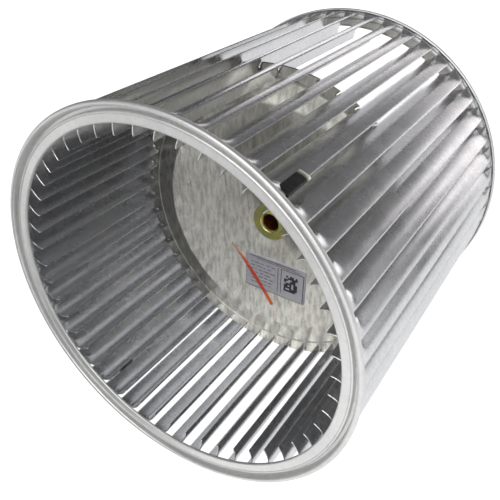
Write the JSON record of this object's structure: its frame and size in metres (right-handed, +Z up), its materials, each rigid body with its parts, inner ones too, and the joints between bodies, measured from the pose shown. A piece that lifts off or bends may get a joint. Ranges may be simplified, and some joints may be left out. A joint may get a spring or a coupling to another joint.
{
  "type": "blower motor wheel",
  "caption": "Double-inlet forward-curved blower wheel: slit blade strip between two hemmed end rings, slotted centre disc, and a bored steel hub with a set screw.",
  "frame": {"origin": "centre of the wheel: on the shaft bore's axis, midway between the end rings' outer edges", "axes": "+Y along the axis of rotation, from the front inlet to the rear inlet; +Z up along the set screw, with the wheel lying on its side on its end rings; +X right"},
  "size_m": [0.27, 0.265, 0.27],
  "materials": {
    "galvanized_blades": "hot-dip galvanized sheet steel, smooth small spangle",
    "galvanized_ring": "galvanized sheet steel, drawn and hemmed",
    "galvanized_disc": "galvanized sheet steel, dull warm grey with streaked spangle",
    "yellow_zinc": "turned steel with yellow iridescent zinc chromate plating",
    "black_steel": "black oxide hardened steel",
    "bright_clip": "bright zinc-plated spring steel",
    "dull_clip": "dull spring steel",
    "label_foil": "metallized polyester film with dark print"
  },
  "bodies": {
    "wheel": {"blade_strip": "galvanized_blades", "front_end_ring": "galvanized_ring", "rear_end_ring": "galvanized_ring", "centre_disc": "galvanized_disc", "hub": "yellow_zinc", "outer_balance_clip": "bright_clip", "inner_balance_clip": "dull_clip", "label": "label_foil"},
    "screw": {"set_screw": "black_steel"}
  },
  "joints": [
    {"name": "set_screw_travel", "type": "slide", "parent": "wheel", "child": "screw", "axis": [0, 0, 1], "range_m": [-0.0015, 0.006]}
  ]
}
